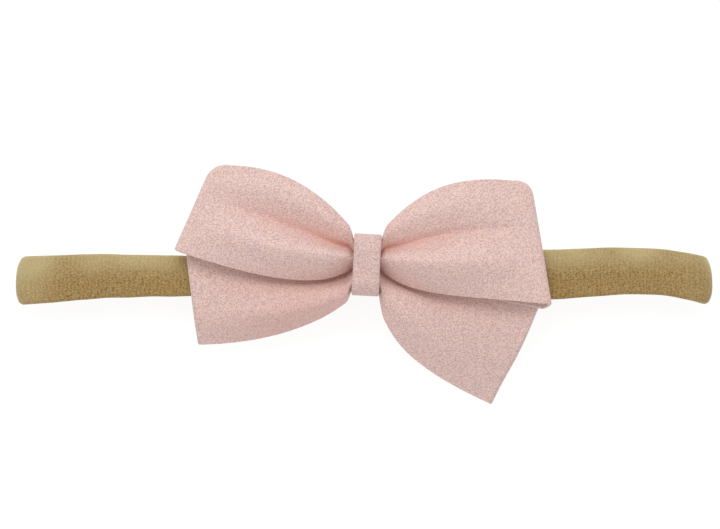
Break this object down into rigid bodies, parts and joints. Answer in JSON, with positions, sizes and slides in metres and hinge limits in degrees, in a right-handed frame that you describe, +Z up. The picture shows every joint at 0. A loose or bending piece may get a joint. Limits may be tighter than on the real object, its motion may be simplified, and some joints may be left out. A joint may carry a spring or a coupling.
{
  "type": "bow headband",
  "caption": "Soft stretch loop headband laid flat, with a folded suede-cloth bow pinched by a narrow wrap on its front layer.",
  "frame": {"origin": "under the bow's waist, on the flat underside of the band's back layer", "axes": "+X along the band to the right of the picture, +Y across the band towards the loops' tops, +Z up from the back layer to the bow"},
  "size_m": [0.17, 0.0587, 0.0241],
  "materials": {
    "stretch_nylon": "fine ribbed knit, matt",
    "suede_cloth": "brushed nap, matt",
    "sewing_thread": "twisted thread"
  },
  "bodies": {
    "band_back": {"band_back_middle": "stretch_nylon", "band_back_left": "stretch_nylon", "band_back_right": "stretch_nylon", "band_front_outer_left": "stretch_nylon", "band_front_outer_right": "stretch_nylon"},
    "left_end": {"band_turn_left": "stretch_nylon"},
    "right_end": {"band_turn_right": "stretch_nylon"},
    "bow": {"band_front_middle": "stretch_nylon", "band_front_inner_left": "stretch_nylon", "band_front_inner_right": "stretch_nylon", "bow_loop_left": "suede_cloth", "bow_loop_right": "suede_cloth", "bow_tail_left": "suede_cloth", "bow_tail_right": "suede_cloth", "bow_waist": "suede_cloth", "centre_wrap": "suede_cloth", "waist_thread": "sewing_thread", "wrap_stitches": "sewing_thread"}
  },
  "joints": [
    {"name": "loop_opening", "type": "slide", "parent": "band_back", "child": "bow", "axis": [0, 0, 1], "range_m": [0, 0.03], "stiffness_N_per_m": 8, "deforming": ["band_front_inner_left", "band_front_inner_right"]},
    {"name": "left_stretch", "type": "slide", "parent": "band_back", "child": "left_end", "axis": [-1, 0, 0], "range_m": [0, 0.022], "stiffness_N_per_m": 40, "deforming": ["band_back_left", "band_front_outer_left"]},
    {"name": "right_stretch", "type": "slide", "parent": "band_back", "child": "right_end", "axis": [1, 0, 0], "range_m": [0, 0.022], "stiffness_N_per_m": 40, "deforming": ["band_back_right", "band_front_outer_right"]}
  ]
}
